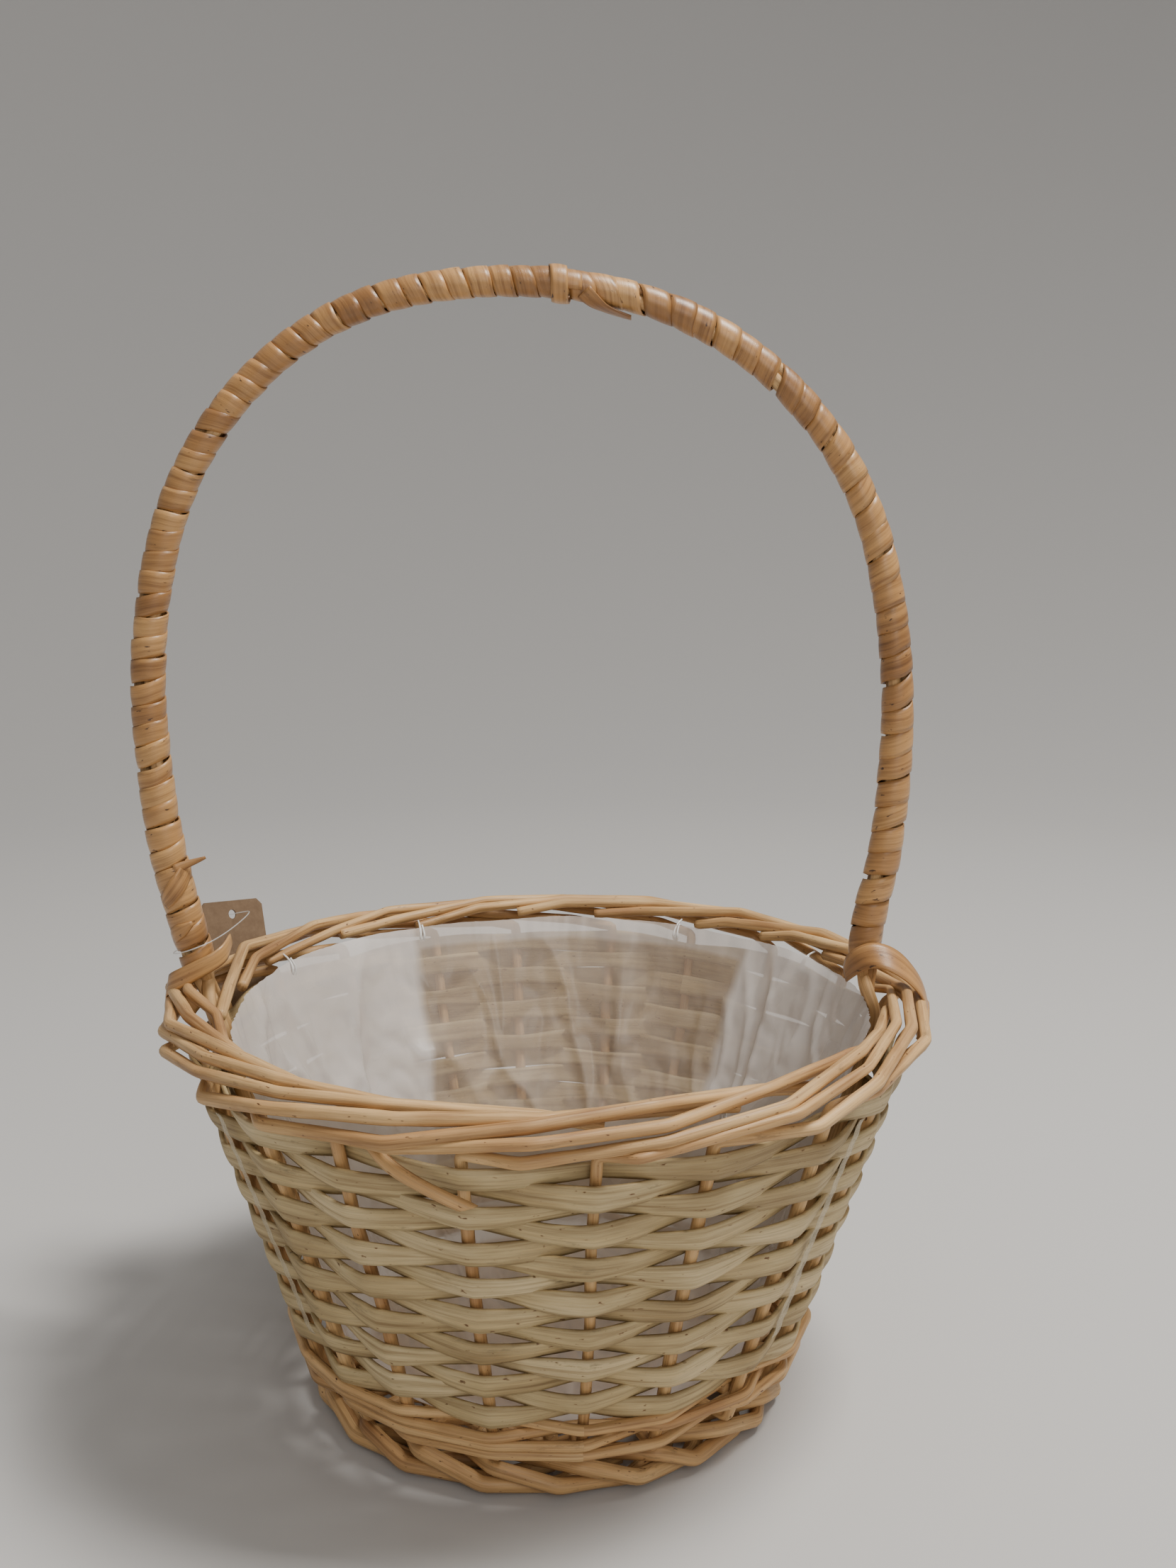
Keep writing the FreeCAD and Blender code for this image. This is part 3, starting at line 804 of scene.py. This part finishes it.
side_ribbon("side_ribbon_left", -55.5, 3.5, 31, ["side_strip_left"])
side_ribbon("side_ribbon_right", 50.5, -3.5, 32, ["side_strip_right"])
print("ribbons: 2")

# %% [markdown]
# ## The film bag
#
# A bag of thin milky film lines the basket. It is cut a little larger than the basket, so it never lies
# smooth: it pulls into long creases from its hem, and bags out where nothing holds it. It could be draped
# by simulation, but film creases along straight folds rather than round ones, and a sum of a few folded
# waves gives those directly. Where two layers lie on each other, at both sides, it is whiter.

# %% Folding the film
FILM_BOTTOM = (63.0, 17.9)  # radius and height of the bag's bottom edge
FILM_TOP = (94.3, 117.4)
ROOM_FOR_BOW = 3.6         # the left foot of the bow pushes the hem in by this much


def crease(x):
    """A sharp fold: 1 on the crease, falling away straight on both sides."""
    return 1 - 2 * abs(x - math.floor(x + 0.5))


def film_fold(angle, share):
    """How far the film stands in from the weave, in mm, at a share of the way up the side."""
    a = math.radians(angle)
    ring = (math.sin(a) * 2.1, math.cos(a) * 2.1)
    long_fold = crease(angle / 36 + 0.35 * wobble(ring[0], ring[1], share * 1.2) + 0.7 * share)
    short_fold = crease(angle / 20 + 0.5 * wobble(ring[0] * 1.7, ring[1] * 1.7, 3 + share * 2) - 1.2 * share)
    slack = 0.5 + 0.5 * wobble(ring[0] * 1.3, ring[1] * 1.3, 7 + share * 2.5)
    puckers = crease(angle / 4.3 + 1.3 * wobble(ring[0] * 3, ring[1] * 3, share)) * share ** 6
    crumple = abs(wobble(ring[0] * 4.5, ring[1] * 4.5, 11 + share * 9))
    middle = math.sin(math.pi * min(1, share)) ** 0.7
    depth = 3.6 * long_fold ** 3 + 2.0 * short_fold ** 3 + 2.6 * slack + 0.8 * crumple
    return 0.2 + depth * (0.12 + 0.88 * middle) + 0.5 * puckers


def layers_at(angle, share):
    """1 where the film lies double, 0 where it is single."""
    back = abs(math.remainder(angle - 180, 360))
    edge = 43 + 3.5 * (share - 0.5) + 1.2 * wobble(share * 2, 4)
    if math.remainder(angle - 180, 360) > 0:
        edge = 33 - 9 * (share - 0.5) + 1.5 * wobble(share * 2, 9)
    return min(1.0, max(0.0, (back - edge) / 2.2 + 0.5))


around_steps, side_steps, floor_steps = 480, 66, 22
places = np.zeros((around_steps + 1, floor_steps + side_steps + 1, 3))
layers = np.zeros(places.shape[:2])
for i in range(around_steps + 1):
    angle = 360 * (i % around_steps) / around_steps
    sine, cosine = math.sin(math.radians(angle)), math.cos(math.radians(angle))
    for j in range(floor_steps + side_steps + 1):
        if j <= floor_steps:
            share = j / floor_steps
            radius = (FILM_BOTTOM[0] - 1.5) * share
            lumps = 0.5 * abs(wobble(radius * sine * 0.08, radius * cosine * 0.08, 2))
            z = FILM_BOTTOM[1] + lumps + max(0.0, share - 0.9) * 6
            places[i, j] = around(angle, radius - 1.2 * max(0.0, share - 0.8) * 5, z)
            layers[i, j] = 1.0 if share > 0.9 else 0.35
        else:
            share = (j - floor_steps) / side_steps
            radius = FILM_BOTTOM[0] + (FILM_TOP[0] - FILM_BOTTOM[0]) * share
            near_bow = max(0.0, 1 - abs(math.remainder(angle + 90, 360)) / PUSH_REACH)
            radius -= ROOM_FOR_BOW * near_bow * share ** 6
            z = FILM_BOTTOM[1] + (FILM_TOP[1] - FILM_BOTTOM[1]) * share
            z += 0.9 * wobble(sine * 2, cosine * 2) * share ** 3
            places[i, j] = around(angle, radius - film_fold(angle, share), z)
            hem = 0.5 if share > 0.935 else 0.0
            layers[i, j] = max(layers_at(angle, share), hem)
print("film points:", places.shape[0] * places.shape[1])

# %% [markdown]
# Milky film is neither clear nor white: a good part of the light goes straight through, the rest is
# scattered. Alpha does the first and a pale diffuse colour the second. How many layers there are is
# written on the mesh as it is made, and the finish reads it from there.

# %% The film's finish
film = bpy.data.materials.new("milky film")
film.use_nodes = True
tree = film.node_tree
shader = tree.nodes["Principled BSDF"]
place = node(tree, "ShaderNodeTexCoord").outputs["Object"]
double = node(tree, "ShaderNodeAttribute", attribute_name="layers").outputs["Fac"]
cloud = stretched_noise(tree, place, (22, 22, 22), detail=3.0)
single = ramp(tree, cloud, ((0.35, (0.47, 0.375, 0.30)), (0.65, (0.64, 0.545, 0.46))))
colour = blend_colour(tree, "MIX", double, single, (0.70, 0.65, 0.61))
tree.links.new(colour, shader.inputs["Base Color"])
see_through = ramp(tree, double, ((0.0, (0.44,) * 3), (1.0, (0.78,) * 3)))
tree.links.new(see_through, shader.inputs["Alpha"])
crinkle = stretched_noise(tree, place, (55, 55, 45), detail=4.0, rough=0.5)
bump = node(tree, "ShaderNodeBump", Strength=0.35, Distance=0.001)
tree.links.new(crinkle, bump.inputs["Height"])
tree.links.new(bump.outputs["Normal"], shader.inputs["Normal"])
gloss = ramp(tree, cloud, ((0.35, (0.22,) * 3), (0.65, (0.34,) * 3)))
tree.links.new(gloss, shader.inputs["Roughness"])

bm = bmesh.new()
add_grid(bm, places, (2 * math.pi * 93 * MM, 165 * MM), weld=True, marks=layers)
bag = piece("film_bag", bm, film, ["liner"])
area = sum(p.area for p in bag.data.polygons)
print("film area:", round(area, 4), "square metres")

# %% [markdown]
# Eight ties of white thread hold the bag's hem to the border. Each is a small loop through the film and
# over the border's inner rod, pulled tight into a knot.

# %% Ties of thread
thread = bpy.data.materials.new("white thread")
thread.use_nodes = True
shader = thread.node_tree.nodes["Principled BSDF"]
uv = node(thread.node_tree, "ShaderNodeUVMap").outputs["UV"]
twist = stretched_noise(thread.node_tree, uv, (900, 2500), detail=2.0)
colour = ramp(thread.node_tree, twist, ((0.35, (0.62, 0.61, 0.58)), (0.6, (0.86, 0.85, 0.83))))
thread.node_tree.links.new(colour, shader.inputs["Base Color"])
shader.inputs["Roughness"].default_value = 0.6

bm = bmesh.new()
for number, angle in enumerate((28, 62, 118, 152, -152, -118, -62, -28)):
    out = around(angle, 1.0, 0.0)
    along = around(angle + 90, 1.0, 0.0)
    low = around(angle, 92.6, 112.6)
    up = np.array((0.0, 0.0, 1.0))
    loop = flowing((low + 0.4 * along, low - 0.7 * out + 1.0 * up + 0.9 * along,
                    low - 0.4 * out + 3.0 * up + 0.5 * along, low + 1.8 * out + 5.6 * up,
                    low + 4.2 * out + 6.4 * up - 0.5 * along), step=0.5)
    add_rod(bm, loop, (0.4, 0.28), sides=8, kind=140 + number, rough=0.2)
    back_leg = flowing((low - 0.4 * along, low - 0.8 * out + 1.2 * up - 0.9 * along,
                        low - 0.5 * out + 3.2 * up - 0.6 * along,
                        low + 1.6 * out + 5.4 * up - 0.8 * along), step=0.5)
    add_rod(bm, back_leg, (0.4, 0.28), sides=8, kind=150 + number, rough=0.2)
piece("bag_ties", bm, thread, ["liner_stitches"])
print("ties: 8")

# %% [markdown]
# ## The tag
#
# The tag is stiff brown card with its two upper corners nipped off, and the CAD part already has its shape,
# so it only needs its finish. Card made from old paper is full of short dark and pale fibres. It hangs on a
# thin clear loop of nylon that goes round the bow's foot.

# %% Card and loop
card = bpy.data.materials.new("kraft card")
card.use_nodes = True
tree = card.node_tree
shader = tree.nodes["Principled BSDF"]
place = node(tree, "ShaderNodeTexCoord").outputs["Object"]


def flecks(scale, low, high):
    made = node(tree, "ShaderNodeTexNoise", Scale=scale, Detail=5.0, Roughness=0.75)
    tree.links.new(place, made.inputs["Vector"])
    return ramp(tree, made.outputs["Fac"], ((low, (0, 0, 0)), (high, (1, 1, 1))))


colour = blend_colour(tree, "MIX", flecks(260, 0.35, 0.65), (0.15, 0.092, 0.05), (0.20, 0.13, 0.075))
colour = blend_colour(tree, "MIX", flecks(1500, 0.62, 0.72), colour, (0.30, 0.22, 0.145))
colour = blend_colour(tree, "MIX", flecks(1100, 0.66, 0.74), colour, (0.09, 0.05, 0.03))
tree.links.new(colour, shader.inputs["Base Color"])
shader.inputs["Roughness"].default_value = 0.8
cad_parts["hang_tag"].data.materials.clear()
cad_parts["hang_tag"].data.materials.append(card)

nylon = clear_film("clear nylon", (0.80, 0.80, 0.78), 0.2, 0.4)
hole = np.array((-104.01, 61.38, 128.16))
across_tag = np.array((0.66685, 0.73613, -0.1159))
behind_tag = np.array((-0.72855, 0.61133, -0.30902))
loop = [(-109.5, 9, 132), (-110.8, 0, 132.5), (-103.4, -8.6, 136), (-95.4, -1, 138)]
loop += [hole + across_tag * 3 - behind_tag * 8, hole - behind_tag * 4, hole + behind_tag * 4,
         hole - across_tag * 15 + behind_tag * 5, (-109.5, 9, 132)]
bm = bmesh.new()
add_rod(bm, flowing(loop, step=1.0), 0.18, sides=8, kind=160, rough=0.0)
piece("tag_loop_line", bm, nylon, ["tag_loop"])

# %% [markdown]
# ## Floor and light
#
# The basket stands in a wide shallow bowl of pale grey, so that there is no line where the floor ends. A
# soft lamp above and to the right gives the rods their round shading and a soft shadow to the left. A weak
# one in front lifts the weave out of the shade, and the sky of the scene fills the rest.

# %% Stage and lamps
bm = bmesh.new()
profile = [bm.verts.new((0.001, 0, 0)), bm.verts.new((0.9, 0, 0))]
for step in range(1, 15):
    turn = math.radians(step * 6)
    profile.append(bm.verts.new((0.9 + 1.3 * math.sin(turn), 0, 1.3 * (1 - math.cos(turn)))))
edges = [bm.edges.new((a, b)) for a, b in zip(profile[:-1], profile[1:])]
bmesh.ops.spin(bm, geom=profile + edges, axis=(0, 0, 1), cent=(0, 0, 0), angle=2 * math.pi, steps=64,
               use_merge=True)
bmesh.ops.remove_doubles(bm, verts=bm.verts, dist=0.002)
bmesh.ops.recalc_face_normals(bm, faces=bm.faces)
mesh = bpy.data.meshes.new("floor")
bm.to_mesh(mesh)
bm.free()
mesh.shade_smooth()
floor = bpy.data.objects.new("floor", mesh)
bpy.context.scene.collection.objects.link(floor)
paper = bpy.data.materials.new("pale paper")
paper.use_nodes = True
shader = paper.node_tree.nodes["Principled BSDF"]
shader.inputs["Base Color"].default_value = (0.56, 0.55, 0.54, 1)
shader.inputs["Roughness"].default_value = 0.9
shader.inputs["Specular IOR Level"].default_value = 0.1
mesh.materials.append(paper)

world = bpy.data.worlds.new("sky")
world.use_nodes = True
world.node_tree.nodes["Background"].inputs["Color"].default_value = (1.0, 0.985, 0.97, 1)
world.node_tree.nodes["Background"].inputs["Strength"].default_value = 0.33
bpy.context.scene.world = world


def lamp(name, place, target, size, power, colour):
    light = bpy.data.lights.new(name, "AREA")
    light.size = size
    light.energy = power
    light.color = colour
    holder = bpy.data.objects.new(name, light)
    bpy.context.scene.collection.objects.link(holder)
    holder.location = place
    aim = Vector(target) - Vector(place)
    holder.rotation_euler = aim.to_track_quat("-Z", "Y").to_euler()


lamp("soft lamp", (0.48, -0.10, 1.32), (0, 0, 0.12), 0.4, 22, (1.0, 0.97, 0.92))
lamp("fill lamp", (0.25, -1.2, 0.75), (0, 0, 0.15), 0.6, 4, (1.0, 0.98, 0.95))
print("lamps: 2")
